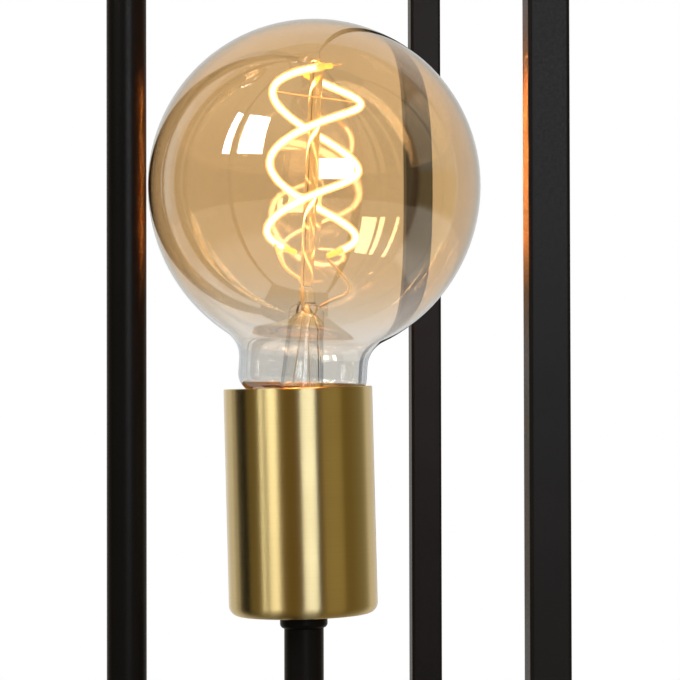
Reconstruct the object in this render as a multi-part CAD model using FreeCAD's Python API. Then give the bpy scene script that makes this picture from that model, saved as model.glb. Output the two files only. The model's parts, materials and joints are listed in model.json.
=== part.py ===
import FreeCAD, Part
import math
import os

# Cage floor lamp: an open cage of square steel tube on a weighted base, with four round stems
# in one row. Each stem carries a brass cup, and a holder inside the cup takes a globe lamp
# with a spiral filament, which screws in and out. Stems, cups and lamps are numbered 1 to 4
# from left to right.
# Millimetres, +Z up, +X right, +Y to the back. The origin is on the floor under the middle
# of the base.

V = FreeCAD.Vector
UP = V(0, 0, 1)

# Cage
CAGE_SPACING = 250.0          # between the middles of neighbouring posts
POST = CAGE_SPACING / 2
TUBE = 10.0                   # outside of the square tube
TUBE_WALL = 1.2
TUBE_CORNER = 1.0
TUBE_CORNER_IN = 0.4
RING_TOP = 1500.0             # top face of the upper ring
RING_BOTTOM = RING_TOP - TUBE
PLUG_LENGTH = 22.0            # of the threaded plug in each end of a post
ACCESS_R = 3.8                # holes in the ring's top, closed by small caps

# Screws
SCREW_R = 2.0
SCREW_HOLE_R = 2.2
SCREW_HEAD_R = 3.5
SCREW_HEAD = 4.0
SCREW_LENGTH = 16.0

# Base
BASE_SIZE = 264.0
BASE_TOP = 40.0
FOOT_HEIGHT = 5.0
SHEET = 1.5                   # the cover's sheet
PLATE = 2.0                   # the bottom plate
COVER_UNDER = BASE_TOP - SHEET
PLATE_TOP = FOOT_HEIGHT + PLATE
FOOT_X, FOOT_Y = 117.0, 85.0
FOOT_STUD_R = 3.0
PILLAR = 114.0                # the pillars that take the bottom plate's screws
PILLAR_R = 4.0
BALLAST_SIZE = 206.0
BALLAST_THICK = 12.0
BALLAST_SCREW = 80.0
BALLAST_NOTCH = 34.0          # half width of the notch for the terminal block
RECESS_WIDTH, RECESS_DEPTH = 24.0, 3.0
CORD_R = 3.25                 # bore of the cord bush
CORD_Z = 22.0
BUSH_R = 5.5
BUSH_FLANGE_R = 9.0
BLOCK_Y = 92.0                # middle of the terminal block
BLOCK_HALF = 8.5
BLOCK_TOP = 26.0
BARREL_R = 3.2
BARREL_Y = 4.5                # from the block's middle to its barrels
EARTH_X, EARTH_Y = 60.0, 112.0
TAG = 0.8                     # thickness of the earthing tag
WIRE_PITCH = 10.0
WIRE_Z = 22.0
WIRE_R = 1.7

# Stems and cups, in the cup's own frame: z = 0 on the stem's top end
STEM_SPACING = 50.3
STEM_R = 5.65
STEM_BORE = 4.5
NIPPLE_R = 4.7
NIPPLE_BORE = 3.0
NIPPLE_DEPTH = 12.0           # length of nipple screwed into a stem's end
NUT_FLATS = 14.0
NUT_THICK = 3.5
COLLAR_R = 6.8
COLLAR = 4.0
CUP_R = 21.2
CUP_HEIGHT = 64.5
CUP_WALL = 1.0
CUP_ROUND = 3.0               # outside radius of the cup's bottom edge
CUP_FLOOR = COLLAR + CUP_WALL
CUP_RIM = COLLAR + CUP_HEIGHT
BRACKET = 1.2                 # thickness of the bracket that carries the holder
BRACKET_WIDTH = 12.0
BRACKET_HEIGHT = 38.0

# Lamp, in its own frame: the origin is the middle of the globe, z runs along the lamp's axis
GLOBE_R = 47.5
BELLY_R = 50.0                # the globe's lower half is a little fuller than a sphere
BELLY_SHIFT = GLOBE_R - BELLY_R
THROAT_R = 8.0                # hollow curve between globe and neck
NECK_R = 18.35
NECK_END = -54.5
NECK_ROUND = 5.3
GLASS = 0.8
CAP_R = 13.0
CAP_WALL = 0.35
CAP_TOP = -60.5
CAP_LENGTH = 27.0
TIP = CAP_TOP - CAP_LENGTH
SOLDER = 1.5                  # height of the solder dome at the tip
TURN_GAP = 0.4                # between the cap and the holder's screw shell

# Glass mount, in the lamp's frame: a flare sealed into the neck, a head on it and a rod
MOUNT_WALL = 0.8
FLARE_END = CAP_TOP - 4.5
FLARE_MOUTH = CAP_R - CAP_WALL - 1.2
FLARE_R = 6.3                 # the flare tube, where its bell begins
FLARE_TOP_R = 5.0
SHOULDER = -34.0              # top of the flare tube
SHOULDER_ROUND = 2.5
FLARE_DOME = 5.0              # solid glass under the shoulder
HEAD_R = 2.4
HEAD_TOP = -29.0
PINCH_R = 1.5                 # the neck between head and rod
ROD_R = 1.9
ROD_START = -26.8
ROD_TOP = 35.0
BEAD_R = 2.2

# Rod and filament hang a little out of line with the lamp. Each has an axis of its own, which
# passes the lamp's axis at this distance at the height of the pivot and leans by this angle.
PIVOT = -33.5
ROD_SHIFT, ROD_LEAN = -0.45, -0.8
COIL_SHIFT, COIL_LEAN = 0.47, -1.3

# Spiral filament. A strand starts at its own side of the coil, in degrees about Z. Its
# stations give how far it has gone round, in degrees, and its height there.
COIL_R = 12.7
STRAND_R = 1.5
STRANDS = [
    {"start": -90.0, "stations": [(-12, 33.0), (90, 26.8), (180, 16.7), (270, 5.4),
                                  (360, -3.1), (450, -12.9), (522, -18.4)]},
    {"start": 90.0, "stations": [(-12, 33.4), (90, 24.3), (180, 16.9), (270, 6.6),
                                 (360, -4.1), (450, -13.8), (520, -20.2)]},
]
GAP_POINTS = 300              # per strand, to find the least gap
LEAD_R = 0.35
TIE_R = 0.2
CRIMP_AT, CRIMP_Z = 488.0, -15.9    # where the first strand's lead is crimped to it

# Holder, in the lamp's frame, so that it leans with the lamp
HOLDER_TOP = -62.0
HOLDER_FLOOR = -90.0
HOLDER_END = -99.0
HOLDER_R = 16.5
HOLDER_FLAT = 15.5
HOLDER_SCREW = -94.5
SHELL_IN = CAP_R + TURN_GAP
SHELL_OUT = SHELL_IN + 0.5
CONTACT_GAP = 0.1

# The lamp's axis crosses the cup's axis here
CROSS_BELOW_RIM = 13.0
CROSS_IN_CUP = CUP_RIM - CROSS_BELOW_RIM
CROSS_IN_LAMP = -70.7

# Per stem: height of the cup's rim, lean of the cup and of the lamp in degrees, positive to
# the right, and how far the filament is turned about the lamp's axis. A lamp leans away from
# the taller stem beside it, which its globe would otherwise touch.
STEMS = [
    {"rim": 700.0, "cup_lean": 1.2, "lamp_lean": -3.6, "turned": 55.0},
    {"rim": 1240.0, "cup_lean": -0.5, "lamp_lean": 0.7, "turned": 130.0},
    {"rim": 970.0, "cup_lean": -1.0, "lamp_lean": 3.5, "turned": 200.0},
    {"rim": 430.0, "cup_lean": -1.36, "lamp_lean": 3.67, "turned": 0.0},
]


# Shapes

def box(x, y, z):
    """A box from three (low, high) pairs."""
    return Part.makeBox(x[1] - x[0], y[1] - y[0], z[1] - z[0], V(x[0], y[0], z[0]))


def rod(radius, low, high, x=0.0, y=0.0):
    return Part.makeCylinder(radius, high - low, V(x, y, low), UP)


def rod_y(radius, low, high, x=0.0, z=0.0):
    return Part.makeCylinder(radius, high - low, V(x, low, z), V(0, 1, 0))


def pipe(outer, inner, low, high, x=0.0, y=0.0):
    return rod(outer, low, high, x, y).cut(rod(inner, low - 1, high + 1, x, y))


def turned(start, *steps):
    """A solid of revolution about Z from its half outline in (radius, height). A step is the
    next point, or the middle and end points of an arc."""
    edges = []
    here = V(start[0], 0, start[1])
    for step in steps:
        if isinstance(step[0], tuple):
            middle, end = (V(p[0], 0, p[1]) for p in step)
            edges.append(Part.Arc(here, middle, end).toShape())
        else:
            end = V(step[0], 0, step[1])
            edges.append(Part.LineSegment(here, end).toShape())
        here = end
    edges.append(Part.LineSegment(here, V(start[0], 0, start[1])).toShape())
    return Part.Face(Part.Wire(edges)).revolve(V(0, 0, 0), UP, 360)


def bend(centre, radius, start, end):
    """The step for turned() that follows a circle from one angle to another, in degrees."""
    points = []
    for angle in ((start + end) / 2, end):
        a = math.radians(angle)
        points.append((centre[0] + radius * math.cos(a), centre[1] + radius * math.sin(a)))
    return tuple(points)


def crown(edge, tip):
    """The step for turned() from a point at (radius, height) to the axis, over a dome."""
    rise = tip - edge[1]
    radius = (edge[0] ** 2 + rise ** 2) / (2 * rise)
    half_angle = math.asin(edge[0] / abs(radius)) / 2
    middle = (abs(radius) * math.sin(half_angle), tip - radius + radius * math.cos(half_angle))
    return (middle, (0, tip))


def rounded_square(half, corner, length):
    """A square bar along Z with rounded long edges."""
    bar = box((-half, half), (-half, half), (0, length))
    upright = [e for e in bar.Edges if abs(e.tangentAt(e.FirstParameter).z) > 0.9]
    return bar.makeFillet(corner, upright)


def square_tube(length):
    outer = rounded_square(TUBE / 2, TUBE_CORNER, length)
    inner = rounded_square(TUBE / 2 - TUBE_WALL, TUBE_CORNER_IN, length + 2)
    inner.translate(V(0, 0, -1))
    return outer.cut(inner)


def hexagon_nut(flats, bore, low, high):
    corner = flats / math.sqrt(3)
    points = [V(corner * math.cos(a), corner * math.sin(a), low)
              for a in (math.radians(60 * i) for i in range(7))]
    block = Part.Face(Part.makePolygon(points)).extrude(V(0, 0, high - low))
    cone = (high - low) * 0.25
    lathe = turned((0, low), (flats / 2, low), (corner, low + cone), (corner, high - cone),
                   (flats / 2, high), (0, high))
    return block.common(lathe).cut(rod(bore, low - 1, high + 1))


def socket_screw(shank_r, head_r, head, length):
    """A socket-head screw: z = 0 is the face that its head bears on, and the shank goes down."""
    body = turned((0, -length), (shank_r - 0.4, -length), (shank_r, 0.4 - length),
                  (shank_r, 0), (head_r, 0), (head_r, head - 0.4), (head_r - 0.4, head),
                  (0, head))
    socket = hexagon_nut(shank_r * 1.5, 0.01, head - 2.0, head + 1.0)
    return body.cut(socket.fuse(rod(0.02, head - 2.0, head + 1.0)))


def pan_screw(shank_r, head_r, head, length):
    """A cross-slotted pan-head screw, placed like socket_screw."""
    body = turned((0, -length), (shank_r * 0.5, -length), (shank_r, shank_r - length),
                  (shank_r, 0), (head_r, 0), (head_r, head * 0.5), (head_r * 0.8, head * 0.9),
                  (head_r * 0.6, head), (0, head))
    slot = 0.18 * head_r
    reach = head_r * 0.55
    cross = box((-reach, reach), (-slot, slot), (head * 0.4, head + 1))
    return body.cut(cross).cut(box((-slot, slot), (-reach, reach), (head * 0.4, head + 1)))


def route(points, radii):
    """Straight runs joined by tangent arcs. Each arc is as large as its runs allow, up to its
    own radius from the list."""
    edges = []
    here = points[0]
    made = []
    for before, corner, after, most in zip(points, points[1:], points[2:], radii):
        back = (before - corner).normalize()
        ahead = (after - corner).normalize()
        turn = math.pi - back.getAngle(ahead)
        shorter = min((before - corner).Length, (after - corner).Length)
        radius = min(most, 0.45 * shorter / math.tan(turn / 2))
        cut = radius * math.tan(turn / 2)
        first = corner + back * cut
        last = corner + ahead * cut
        inward = (back + ahead).normalize()
        middle = corner + inward * (radius / math.cos(turn / 2) - radius)
        edges.append(Part.LineSegment(here, first).toShape())
        edges.append(Part.Arc(first, middle, last).toShape())
        made.append(round(radius, 1))
        here = last
    edges.append(Part.LineSegment(here, points[-1]).toShape())
    return Part.Wire(edges), made


def tube_along(path, radius):
    start = path.Edges[0]
    heading = start.tangentAt(start.FirstParameter)
    ring = Part.makeCircle(radius, start.valueAt(start.FirstParameter), heading)
    return path.makePipeShell([Part.Wire(ring)], True, False)


def group(shapes):
    return Part.makeCompound(shapes)


# Where things stand

def stem_x(i):
    return STEM_SPACING * (i - (len(STEMS) - 1) / 2)


def stem_top(i):
    return STEMS[i]["rim"] - CUP_RIM


def leaning(place, degrees):
    return FreeCAD.Placement(place, FreeCAD.Rotation(V(0, 1, 0), degrees))


def cup_frame(i):
    return leaning(V(stem_x(i), 0, stem_top(i)), STEMS[i]["cup_lean"])


def lamp_frame(i):
    cross = cup_frame(i).multVec(V(0, 0, CROSS_IN_CUP))
    lean = FreeCAD.Rotation(V(0, 1, 0), STEMS[i]["lamp_lean"])
    return FreeCAD.Placement(cross - lean.multVec(V(0, 0, CROSS_IN_LAMP)), lean)


def placed(shape, frame):
    copy = shape.copy()
    copy.Placement = frame.multiply(copy.Placement)
    return copy


def corners(half):
    return [(x, y) for x in (-half, half) for y in (-half, half)]


def all_stems(shape, frame):
    return [placed(shape, frame(i)) for i in range(len(STEMS))]


# Cage

def posts():
    tube = square_tube(RING_BOTTOM - BASE_TOP)
    names = {(-1, -1): "post_front_left", (1, -1): "post_front_right",
             (-1, 1): "post_back_left", (1, 1): "post_back_right"}
    return {name: tube.translated(V(x * POST, y * POST, BASE_TOP))
            for (x, y), name in names.items()}


def post_plugs():
    """Square plugs with a threaded hole, welded into both ends of each post."""
    half = TUBE / 2 - TUBE_WALL
    bar = box((-half, half), (-half, half), (0, PLUG_LENGTH))
    plug = bar.makeChamfer(0.6, bar.Edges).cut(rod(SCREW_R, -1, PLUG_LENGTH + 1))
    return group([plug.translated(V(x, y, z)) for x, y in corners(POST)
                  for z in (BASE_TOP, RING_BOTTOM - PLUG_LENGTH)])


def post_screws():
    """One screw up into each post's foot and one down into its head."""
    screw = socket_screw(SCREW_R, SCREW_HEAD_R, SCREW_HEAD, SCREW_LENGTH)
    upward = screw.rotated(V(0, 0, 0), V(1, 0, 0), 180)
    down = [screw.translated(V(x, y, RING_BOTTOM + TUBE_WALL)) for x, y in corners(POST)]
    up = [upward.translated(V(x, y, COVER_UNDER)) for x, y in corners(POST)]
    return group(down + up)


def rails():
    """The upper ring: four tubes mitred at the posts, with a screw hole through each joint."""
    outer = POST + TUBE / 2
    inner = POST - TUBE / 2
    tube = square_tube(2 * outer).translated(V(0, 0, -outer))
    tube.rotate(V(0, 0, 0), V(0, 1, 0), 90)
    tube.translate(V(0, -POST, RING_BOTTOM + TUBE / 2))
    mitre = [V(-outer, -outer, 0), V(outer, -outer, 0), V(inner, -inner, 0),
             V(-inner, -inner, 0), V(-outer, -outer, 0)]
    wedge = Part.Face(Part.makePolygon(mitre)).extrude(V(0, 0, RING_TOP + 10))
    rail = tube.common(wedge)
    for x in (-POST, POST):
        rail = rail.cut(rod(SCREW_HOLE_R, RING_BOTTOM - 1, RING_BOTTOM + TUBE / 2, x, -POST))
        rail = rail.cut(rod(ACCESS_R, RING_BOTTOM + TUBE / 2, RING_TOP + 1, x, -POST))
    turns = {"top_rail_front": 0, "top_rail_right": 90, "top_rail_back": 180,
             "top_rail_left": 270}
    return {name: rail.rotated(V(0, 0, 0), UP, turn) for name, turn in turns.items()}


def top_caps():
    """Plastic buttons that close the access holes over the ring's screws."""
    cap = turned((0, -2.4), (ACCESS_R - 0.4, -2.4), (ACCESS_R, -2.0), (ACCESS_R, 0),
                 (ACCESS_R + 0.8, 0), (ACCESS_R + 0.5, 0.5), (ACCESS_R - 0.4, 0.8), (0, 0.8))
    return group([cap.translated(V(x, y, RING_TOP)) for x, y in corners(POST)])


# Base

def base_cover():
    """A folded and welded sheet cover, open below, with a recess for the cord bush."""
    half = BASE_SIZE / 2
    block = box((-half, half), (-half, half), (FOOT_HEIGHT, BASE_TOP))
    upright = [e for e in block.Edges if abs(e.tangentAt(e.FirstParameter).z) > 0.9]
    block = block.makeFillet(2.5, upright)
    rim = [e for e in block.Edges if e.BoundBox.ZMin > BASE_TOP - 0.01]
    block = block.makeFillet(SHEET, rim)
    hollow = half - SHEET
    cavity = box((-hollow, hollow), (-hollow, hollow), (0, COVER_UNDER))
    upright = [e for e in cavity.Edges if abs(e.tangentAt(e.FirstParameter).z) > 0.9]
    shell = block.cut(cavity.makeFillet(1.0, upright))
    recess = RECESS_WIDTH / 2
    low, high = CORD_Z - recess + 1.0, CORD_Z + recess - 1.0
    pocket = box((-recess - SHEET, recess + SHEET), (half - RECESS_DEPTH - SHEET, half - 0.5),
                 (low - SHEET, high + SHEET))
    shell = shell.fuse(pocket).cut(box((-recess, recess), (half - RECESS_DEPTH, half + 1),
                                       (low, high)))
    for x, y in corners(PILLAR):
        shell = shell.fuse(rod(PILLAR_R, PLATE_TOP, COVER_UNDER + 0.5, x, y))
        shell = shell.cut(rod(SCREW_R, PLATE_TOP - 1, PLATE_TOP + 12, x, y))
    for x, y in corners(POST):
        shell = shell.cut(rod(SCREW_HOLE_R, COVER_UNDER - 1, BASE_TOP + 1, x, y))
    for i in range(len(STEMS)):
        shell = shell.cut(rod(NIPPLE_R, COVER_UNDER - 1, BASE_TOP + 1, stem_x(i)))
    return shell.cut(rod_y(BUSH_R, half - 10, half + 1, 0, CORD_Z)).removeSplitter()


def cord_bush():
    """A snap-in bush for the mains lead, in the recess at the back."""
    wall = BASE_SIZE / 2 - RECESS_DEPTH
    flange, inside = 2.0, 12.0
    snap = SHEET + 0.1
    body = turned((CORD_R, flange), (BUSH_FLANGE_R - 0.5, flange),
                  (BUSH_FLANGE_R, flange - 0.5), (BUSH_FLANGE_R, 0), (BUSH_R, 0), (BUSH_R, -snap),
                  (BUSH_R + 0.7, -snap), (BUSH_R - 0.4, -snap - 4.0), (BUSH_R - 0.4, -inside), (CORD_R, -inside))
    body.rotate(V(0, 0, 0), V(1, 0, 0), -90)
    return body.translated(V(0, wall, CORD_Z))


def base_plate():
    half = BASE_SIZE / 2 - SHEET - 0.4
    plate = box((-half, half), (-half, half), (FOOT_HEIGHT, PLATE_TOP))
    for x, y in corners(PILLAR) + corners(BALLAST_SCREW):
        plate = plate.cut(rod(SCREW_HOLE_R, 0, BASE_TOP, x, y))
    for x in (-FOOT_X, FOOT_X):
        for y in (-FOOT_Y, FOOT_Y):
            plate = plate.cut(rod(FOOT_STUD_R, 0, BASE_TOP, x, y))
    return plate


def base_screws():
    """Four into the cover's pillars and four up into the ballast."""
    screw = pan_screw(SCREW_R, 3.8, 2.6, 10.0).rotated(V(0, 0, 0), V(1, 0, 0), 180)
    return group([screw.translated(V(x, y, FOOT_HEIGHT))
                  for x, y in corners(PILLAR) + corners(BALLAST_SCREW)])


def ballast():
    """A cast slab that keeps the tall cage steady, notched for the terminal block."""
    half = BALLAST_SIZE / 2
    slab = box((-half, half), (-half, half), (PLATE_TOP, PLATE_TOP + BALLAST_THICK))
    upright = [e for e in slab.Edges if abs(e.tangentAt(e.FirstParameter).z) > 0.9]
    slab = slab.makeFillet(12.0, upright)
    rim = [e for e in slab.Edges if e.BoundBox.ZMin > PLATE_TOP + BALLAST_THICK - 0.01]
    slab = slab.makeChamfer(1.5, rim)
    slab = slab.cut(box((-BALLAST_NOTCH, BALLAST_NOTCH), (BLOCK_Y - 14, half + 1),
                        (0, BASE_TOP)))
    for x, y in corners(BALLAST_SCREW):
        slab = slab.cut(rod(SCREW_R, PLATE_TOP - 1, PLATE_TOP + 9, x, y))
    return slab


def feet():
    """Rubber feet, each pushed through the plate by its barbed stud."""
    barb = PLATE_TOP + 3.5
    foot = turned((0, 0), (10.0, 0), (11.0, 1.0), (10.4, FOOT_HEIGHT),
                  (FOOT_STUD_R, FOOT_HEIGHT), (FOOT_STUD_R, PLATE_TOP),
                  (FOOT_STUD_R + 1.2, PLATE_TOP), (FOOT_STUD_R - 0.4, barb), (0, barb))
    return group([foot.translated(V(x, y, 0)) for x in (-FOOT_X, FOOT_X)
                  for y in (-FOOT_Y, FOOT_Y)])


def terminal_block():
    """A four-way screw terminal with two barrels over each pole."""
    poles = [WIRE_PITCH * (i - 1.5) for i in range(4)]
    half_length = 2 * WIRE_PITCH + 2.0
    front, back = BLOCK_Y - BLOCK_HALF, BLOCK_Y + BLOCK_HALF
    block = box((-half_length, half_length), (front, back), (PLATE_TOP, BLOCK_TOP))
    for x in poles:
        for y in (BLOCK_Y - BARREL_Y, BLOCK_Y + BARREL_Y):
            block = block.fuse(rod(BARREL_R, BLOCK_TOP - 1, BLOCK_TOP + 2.5, x, y))
        block = block.cut(rod_y(WIRE_R + 0.2, front - 1, back + 1, x, WIRE_Z))
        for y in (BLOCK_Y - BARREL_Y, BLOCK_Y + BARREL_Y):
            block = block.cut(rod(BARREL_R / 2, WIRE_Z, BASE_TOP, x, y))
    notch, notch_half = 2.5, 0.9
    for x in (-WIRE_PITCH, 0, WIRE_PITCH):
        across = (x - notch_half, x + notch_half)
        block = block.cut(box(across, (front - 1, front + notch), (PLATE_TOP - 1, BASE_TOP)))
        block = block.cut(box(across, (back - notch, back + 1), (PLATE_TOP - 1, BASE_TOP)))
    return block.removeSplitter()


def earth_stud():
    """The earthing stud under the cover, its ring tag and its nut."""
    under_tag = COVER_UNDER - TAG
    ring_r, tongue_length = 4.0, 11.0
    stud = rod(SCREW_R, COVER_UNDER - 11.0, COVER_UNDER, EARTH_X, EARTH_Y)
    tag = pipe(ring_r, SCREW_R, under_tag, COVER_UNDER, EARTH_X, EARTH_Y)
    tongue = box((EARTH_X + ring_r - 1, EARTH_X + tongue_length),
                 (EARTH_Y - 1.6, EARTH_Y + 1.6), (under_tag, COVER_UNDER))
    nut = hexagon_nut(7.0, SCREW_R, under_tag - 3.2, under_tag)
    bored = tag.fuse(tongue).cut(rod(SCREW_R, 0, BASE_TOP, EARTH_X, EARTH_Y))
    return group([stud, bored, nut.translated(V(EARTH_X, EARTH_Y, 0))])


# Stems and cups

def stems():
    """Round tubes, tapped at both ends. The upper end's thread follows the cup's lean."""
    made = {}
    for i in range(len(STEMS)):
        top = stem_top(i)
        tube = pipe(STEM_R, STEM_BORE, BASE_TOP, top, stem_x(i))
        tube = tube.cut(rod(NIPPLE_R, BASE_TOP - 1, BASE_TOP + NIPPLE_DEPTH, stem_x(i)))
        thread = rod(NIPPLE_R, -NIPPLE_DEPTH, 3.0)
        made[f"stem_{i + 1}"] = tube.cut(placed(thread, cup_frame(i)))
    return made


def nipples():
    lower_end = COVER_UNDER - NUT_THICK - 2.5
    lower = [pipe(NIPPLE_R, NIPPLE_BORE, lower_end, BASE_TOP + NIPPLE_DEPTH, stem_x(i))
             for i in range(len(STEMS))]
    upper_end = CUP_FLOOR + BRACKET + NUT_THICK + 1.8
    upper = pipe(NIPPLE_R, NIPPLE_BORE, -NIPPLE_DEPTH, upper_end)
    return group(lower + all_stems(upper, cup_frame))


def stem_nuts():
    """A nut under the cover on each lower nipple, and one in each cup on the upper one."""
    lower = hexagon_nut(NUT_FLATS, NIPPLE_R, COVER_UNDER - NUT_THICK, COVER_UNDER)
    seat = CUP_FLOOR + BRACKET
    upper = hexagon_nut(NUT_FLATS, NIPPLE_R, seat, seat + NUT_THICK)
    return group([lower.translated(V(stem_x(i), 0, 0)) for i in range(len(STEMS))]
                 + all_stems(upper, cup_frame))


def collars():
    """Turned collars between stems and cups, faced off square to the stem below."""
    round_r = 1.4
    collar = turned((NIPPLE_R, -0.6), (COLLAR_R - round_r, -0.6), (COLLAR_R - round_r, 0),
                    bend((COLLAR_R - round_r, round_r), round_r, -90, 0),
                    (COLLAR_R, COLLAR), (NIPPLE_R, COLLAR))
    made = []
    for i in range(len(STEMS)):
        top = stem_top(i)
        below = box((stem_x(i) - 20, stem_x(i) + 20), (-20, 20), (top - 10, top))
        made.append(placed(collar, cup_frame(i)).cut(below))
    return group(made)


def cup():
    """A deep-drawn brass cup with a rounded bottom edge and a deburred rim."""
    burr = 0.25
    inner = CUP_R - CUP_WALL
    return turned((NIPPLE_R, COLLAR), (CUP_R - CUP_ROUND, COLLAR),
                  bend((CUP_R - CUP_ROUND, COLLAR + CUP_ROUND), CUP_ROUND, -90, 0),
                  (CUP_R, CUP_RIM - burr), (CUP_R - burr, CUP_RIM), (inner + burr, CUP_RIM),
                  (inner, CUP_RIM - burr), (inner, CUP_FLOOR + 1.4),
                  (inner - 1.4, CUP_FLOOR), (NIPPLE_R, CUP_FLOOR))


def bracket_hole(i):
    """Where the holder's fixing screws pass the bracket, in the cup's frame."""
    at = lamp_frame(i).multVec(V(0, 0, HOLDER_SCREW))
    return cup_frame(i).inverse().multVec(at)


def holder_brackets():
    """U-shaped straps, clamped to the cups' floors, that hold the holders by their flats."""
    outer = HOLDER_FLAT + BRACKET
    half = BRACKET_WIDTH / 2
    strap = box((-half, half), (-outer, outer), (CUP_FLOOR, CUP_FLOOR + BRACKET_HEIGHT))
    folds = [e for e in strap.Edges if abs(e.tangentAt(e.FirstParameter).x) > 0.9
             and e.BoundBox.ZMax < CUP_FLOOR + 1]
    strap = strap.makeFillet(BRACKET + 0.6, folds)
    gap = box((-half - 1, half + 1), (-HOLDER_FLAT, HOLDER_FLAT),
              (CUP_FLOOR + BRACKET, CUP_FLOOR + BRACKET_HEIGHT + 1))
    folds = [e for e in gap.Edges if abs(e.tangentAt(e.FirstParameter).x) > 0.9
             and e.BoundBox.ZMax < CUP_FLOOR + BRACKET + 1]
    strap = strap.cut(gap.makeFillet(0.6, folds)).cut(rod(NIPPLE_R, 0, 20))
    made = []
    for i in range(len(STEMS)):
        at = bracket_hole(i)
        made.append(placed(strap.cut(rod_y(1.6, -30, 30, at.x, at.z)), cup_frame(i)))
    return group(made)


def bracket_screws():
    screw = pan_screw(1.5, 2.7, 1.7, 4.2)
    back = screw.rotated(V(0, 0, 0), V(1, 0, 0), -90).translated(
        V(0, HOLDER_FLAT + BRACKET, HOLDER_SCREW))
    front = back.rotated(V(0, 0, 0), UP, 180)
    return group([s for i in range(len(STEMS))
                  for s in (placed(back, lamp_frame(i)), placed(front, lamp_frame(i)))])


def holder():
    """A glazed holder body with flats for the bracket and a wire hole through its floor."""
    edge = 1.0
    body = turned((3.0, HOLDER_END), (HOLDER_R - edge, HOLDER_END), (HOLDER_R, HOLDER_END + edge),
                  (HOLDER_R, HOLDER_TOP - edge), (HOLDER_R - edge, HOLDER_TOP),
                  (SHELL_OUT, HOLDER_TOP), (SHELL_OUT, HOLDER_FLOOR), (3.0, HOLDER_FLOOR))
    for side in (-1, 1):
        spread = sorted((side * HOLDER_FLAT, side * 30))
        body = body.cut(box((-30, 30), spread, (HOLDER_END - 1, HOLDER_TOP + 1)))
    return body.cut(rod_y(1.5, -30, -HOLDER_FLAT + 3.2, 0, HOLDER_SCREW)).cut(
        rod_y(1.5, HOLDER_FLAT - 3.2, 30, 0, HOLDER_SCREW))


def screw_shell():
    """The brass sleeve that takes the lamp's cap, with a flange on the holder's top."""
    return turned((SHELL_IN, HOLDER_TOP + 0.5), (SHELL_IN, HOLDER_FLOOR + 3.0),
                  (SHELL_OUT, HOLDER_FLOOR + 3.0), (SHELL_OUT, HOLDER_TOP),
                  (SHELL_OUT + 1.2, HOLDER_TOP), (SHELL_OUT + 1.2, HOLDER_TOP + 0.5))


def centre_contact():
    """A bent brass leaf under the lamp's tip."""
    top = TIP - CONTACT_GAP
    leaf = 0.5
    outline = [(-11.5, HOLDER_FLOOR), (-5.5, HOLDER_FLOOR), (-3.2, top - leaf),
               (3.2, top - leaf), (4.6, top - leaf - 0.9), (5.0, top - leaf - 0.5),
               (3.4, top), (-3.5, top), (-5.8, HOLDER_FLOOR + leaf),
               (-11.5, HOLDER_FLOOR + leaf), (-11.5, HOLDER_FLOOR)]
    face = Part.Face(Part.makePolygon([V(x, -3.0, z) for x, z in outline]))
    return face.extrude(V(0, 6.0, 0))


def wiring():
    """A two-core lead for each lamp: terminal block, base, stem, holder."""
    leads = []
    for i in range(len(STEMS)):
        start = V(WIRE_PITCH * (i - 1.5), BLOCK_Y - 6.0, WIRE_Z)
        x = stem_x(i)
        lamp = lamp_frame(i)
        points = [start, V(start.x, 66, WIRE_Z), V(x, 24, WIRE_Z), V(x, 0, WIRE_Z),
                  V(x, 0, stem_top(i) + 13), lamp.multVec(V(0, 0, HOLDER_END - 5)),
                  lamp.multVec(V(0, 0, HOLDER_FLOOR - 2))]
        path, radii = route(points, [40, 40, 8, 60, 60])
        lead = tube_along(path, WIRE_R)
        expected = math.pi * WIRE_R ** 2 * path.Length
        print(f"lead {i + 1}: {path.Length:.0f} mm long, radii {radii}, "
              f"volume {lead.Volume / expected:.4f} of section times length")
        leads.append(lead)
    return group(leads)


# Lamp

def globe():
    """The blown bulb: a sphere above, a fuller belly below, a hollow throat and a neck that
    rounds in to the cap. The inside is the same outline, moved in by the glass."""
    throat_x = NECK_R + THROAT_R
    throat_z = -math.sqrt((BELLY_R + THROAT_R) ** 2 - (throat_x - BELLY_SHIFT) ** 2)
    seam = math.degrees(math.atan2(throat_z, throat_x - BELLY_SHIFT))
    belly, throat = (BELLY_SHIFT, 0), (throat_x, throat_z)
    round_at = (NECK_R - NECK_ROUND, NECK_END)
    sealed = CAP_R - CAP_WALL
    sealed_in = sealed - 1.2
    end = CAP_TOP - 5.5
    bottom = NECK_END - NECK_ROUND
    shell = turned(
        (0, GLOBE_R), bend((0, 0), GLOBE_R, 90, 0), bend(belly, BELLY_R, 0, seam),
        bend(throat, THROAT_R, 180 + seam, 180), (NECK_R, NECK_END),
        bend(round_at, NECK_ROUND, 0, -90), (sealed, bottom), (sealed, end), (sealed_in, end),
        (sealed_in, bottom + GLASS), (NECK_R - NECK_ROUND, bottom + GLASS),
        bend(round_at, NECK_ROUND - GLASS, -90, 0), (NECK_R - GLASS, throat_z),
        bend(throat, THROAT_R + GLASS, 180, 180 + seam), bend(belly, BELLY_R - GLASS, seam, 0),
        bend((0, 0), GLOBE_R - GLASS, 0, 90))
    return shell


def cap():
    """The lamp's screw cap, thin sheet with a flared mouth and a drawn-in lower end."""
    lower = TIP + 8.5
    mouth = TIP + 4.0
    inner = CAP_R - CAP_WALL
    return turned((inner, CAP_TOP), (CAP_R + 0.3, CAP_TOP), (CAP_R, CAP_TOP - 1.0),
                  (CAP_R, lower), (9.2, mouth), (8.85, mouth), (inner, lower))


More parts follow.
